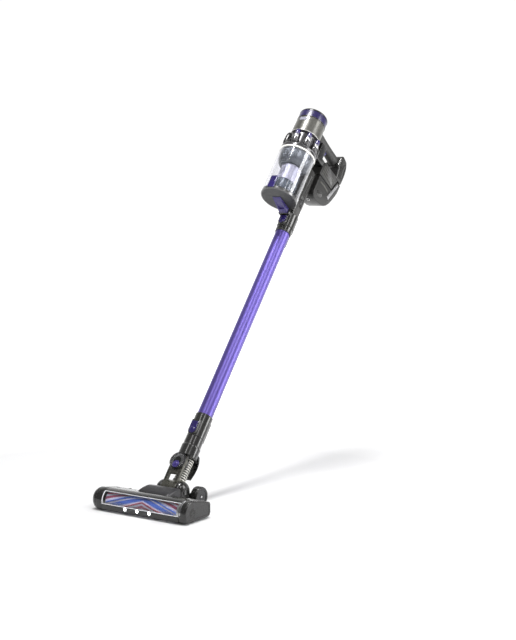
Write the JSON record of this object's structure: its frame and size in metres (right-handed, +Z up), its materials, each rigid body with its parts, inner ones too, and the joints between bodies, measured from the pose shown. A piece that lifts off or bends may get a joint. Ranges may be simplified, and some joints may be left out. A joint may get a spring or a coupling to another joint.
{
  "type": "cordless stick vacuum",
  "caption": "Cordless stick vacuum with a powered brush head, swivelling neck, tube wand, clear cyclone cup, motor unit and pistol-loop handle with a slide-off battery.",
  "frame": {"origin": "on the floor, at the middle of the sole's felt strip", "axes": "+X across the floor head to its right end, -Y the way the head is pushed, +Z up"},
  "size_m": [0.279, 0.8756, 0.9534],
  "materials": {
    "charcoal": "glossy injection-moulded ABS",
    "charcoal_soft": "fine-textured moulded plastic",
    "housing_grey": "satin painted plastic",
    "wand_purple": "purple anodised, brushed along the tube",
    "purple_plastic": "glossy tinted plastic",
    "clear_cup": "clear polycarbonate",
    "clear_window": "clear polycarbonate",
    "white_seal": "white rubberised plastic",
    "silver": "perforated steel and silver trim",
    "black_rubber": "matt rubber",
    "brush_fabric": "short nylon pile",
    "bristles": "dense nylon bristles",
    "felt": "felt",
    "steel": "turned steel",
    "motor_metal": "cast and turned metal",
    "lens_white": "frosted lamp lens",
    "display_glass": "tinted display window",
    "filter_white": "pleated filter paper",
    "circuit_green": "circuit board",
    "cell_green": "sleeved battery cell"
  },
  "bodies": {
    "hand_unit": {"inlet_socket": "charcoal", "lid_hinge_pin": "steel", "spine_duct": "charcoal", "cyclone_collar": "charcoal", "cyclone_cones": "silver", "motor_housing": "housing_grey", "display_window": "display_glass", "motor_can": "motor_metal", "grip_left": "charcoal_soft", "grip_right": "charcoal_soft", "foot_shell": "charcoal", "battery_dock": "charcoal", "circuit_boards": "circuit_green"},
    "wand_release": {"wand_release_button": "purple_plastic"},
    "impeller": {"impeller": "motor_metal"},
    "filter": {"filter_cap": "purple_plastic", "exhaust_filter": "filter_white"},
    "trigger": {"trigger": "purple_plastic"},
    "dust_cup": {"cup_wall": "clear_cup", "seal_ring": "white_seal", "cyclone_shroud": "silver", "dust_tubes": "charcoal"},
    "lid_latch": {"lid_latch": "purple_plastic"},
    "cup_lid": {"cup_lid": "charcoal", "lid_strap": "purple_plastic"},
    "wand": {"wand_lower_sleeve": "charcoal", "wand_tube": "wand_purple", "wand_upper_sleeve": "charcoal", "wand_contact_ribs": "black_rubber"},
    "head_release": {"head_release_button": "purple_plastic"},
    "neck_upper": {"neck_tube": "charcoal", "neck_rear_shell": "black_rubber"},
    "neck_lower": {"neck_yoke": "charcoal", "neck_pins": "steel", "knob_cover": "charcoal", "neck_bellows": "charcoal_soft"},
    "floor_head": {"sole_plate": "charcoal_soft", "felt_strip": "felt", "headlight_lenses": "lens_white", "rear_deck": "charcoal", "brush_window": "clear_window", "end_cap_left": "charcoal", "end_cap_right": "charcoal", "brush_bearings": "steel", "brush_motor": "steel", "drive_belt": "black_rubber", "hump_cover": "charcoal", "pivot_housing": "charcoal"},
    "brush_roll": {"brush_core": "motor_metal", "brush_fabric": "brush_fabric", "bristle_rows": "bristles"},
    "brush_drive": {"drive_pulley": "steel"},
    "brush_lock": {"brush_lock": "charcoal_soft"},
    "wheel_left": {"wheel_left": "charcoal_soft"},
    "wheel_right": {"wheel_right": "charcoal_soft"},
    "battery": {"battery_case": "charcoal", "battery_cells": "cell_green", "charge_port": "steel"},
    "battery_button_left": {"battery_button_left": "silver"},
    "battery_button_right": {"battery_button_right": "silver"}
  },
  "joints": [
    {"name": "wand_release_press", "type": "slide", "parent": "hand_unit", "child": "wand_release", "axis": [0, 0.7826, -0.6225], "range_m": [0, 0.0025], "stiffness_N_per_m": 600, "springref_m": -0.001},
    {"name": "impeller_spin", "type": "hinge", "parent": "hand_unit", "child": "impeller", "pos_m": [0, 0.6343, 0.8798], "axis": [0, 0.6225, 0.7826], "continuous": true},
    {"name": "filter_cap_lift", "type": "slide", "parent": "hand_unit", "child": "filter", "axis": [0, 0.6225, 0.7826], "range_m": [0, 0.03]},
    {"name": "trigger_pull", "type": "slide", "parent": "hand_unit", "child": "trigger", "axis": [0, 0.6225, 0.7826], "range_m": [0, 0.004], "stiffness_N_per_m": 500, "springref_m": -0.002},
    {"name": "dust_cup_twist", "type": "hinge", "parent": "hand_unit", "child": "dust_cup", "pos_m": [0, 0.54901, 0.77258], "axis": [0, 0.6225, 0.7826], "range_deg": [0, 20]},
    {"name": "lid_latch_press", "type": "slide", "parent": "dust_cup", "child": "lid_latch", "axis": [0, -0.6225, -0.7826], "range_m": [0, 0.004], "stiffness_N_per_m": 400, "springref_m": -0.001},
    {"name": "cup_lid_open", "type": "hinge", "parent": "hand_unit", "child": "cup_lid", "pos_m": [0, 0.53123, 0.68067], "axis": [1, 0, 0], "range_deg": [0, 70]},
    {"name": "wand_pull", "type": "slide", "parent": "hand_unit", "child": "wand", "axis": [0, -0.6225, -0.7826], "range_m": [0, 0.028]},
    {"name": "head_release_press", "type": "slide", "parent": "wand", "child": "head_release", "axis": [0, 0.7826, -0.6225], "range_m": [0, 0.0025], "stiffness_N_per_m": 600, "springref_m": -0.001},
    {"name": "neck_pull", "type": "slide", "parent": "wand", "child": "neck_upper", "axis": [0, -0.6225, -0.7826], "range_m": [0, 0.028]},
    {"name": "neck_steer", "type": "hinge", "parent": "neck_upper", "child": "neck_lower", "pos_m": [0, 0.08243, 0.1036], "axis": [0, 0.7826, -0.6225], "range_deg": [-35, 35], "deforming": ["neck_bellows"]},
    {"name": "neck_pitch", "type": "hinge", "parent": "neck_lower", "child": "floor_head", "pos_m": [0, 0.057, 0.0395], "axis": [1, 0, 0], "range_deg": [-38.5, 45]},
    {"name": "brush_spin", "type": "hinge", "parent": "floor_head", "child": "brush_roll", "pos_m": [0, -0.039, 0.0225], "axis": [1, 0, 0], "continuous": true},
    {"name": "brush_drive_spin", "type": "hinge", "parent": "floor_head", "child": "brush_drive", "pos_m": [-0.1, 0.012, 0.0205], "axis": [1, 0, 0], "continuous": true},
    {"name": "brush_lock_turn", "type": "hinge", "parent": "floor_head", "child": "brush_lock", "pos_m": [0.13, -0.039, 0.0225], "axis": [1, 0, 0], "range_deg": [0, 90]},
    {"name": "wheel_left_spin", "type": "hinge", "parent": "floor_head", "child": "wheel_left", "pos_m": [-0.05, 0.096, 0.024], "axis": [1, 0, 0], "continuous": true},
    {"name": "wheel_right_spin", "type": "hinge", "parent": "floor_head", "child": "wheel_right", "pos_m": [0.05, 0.096, 0.024], "axis": [1, 0, 0], "continuous": true},
    {"name": "battery_slide", "type": "slide", "parent": "hand_unit", "child": "battery", "axis": [0, -0.6225, -0.7826], "range_m": [0, 0.06]},
    {"name": "battery_button_left_press", "type": "slide", "parent": "battery", "child": "battery_button_left", "axis": [1, 0, 0], "range_m": [0, 0.0015], "stiffness_N_per_m": 600, "springref_m": -0.0005},
    {"name": "battery_button_right_press", "type": "slide", "parent": "battery", "child": "battery_button_right", "axis": [-1, 0, 0], "range_m": [0, 0.0015], "stiffness_N_per_m": 600, "springref_m": -0.0005}
  ],
  "couplings": [
    {"joint": "brush_drive_spin", "follows": "brush_spin", "ratio": 2.1154}
  ]
}
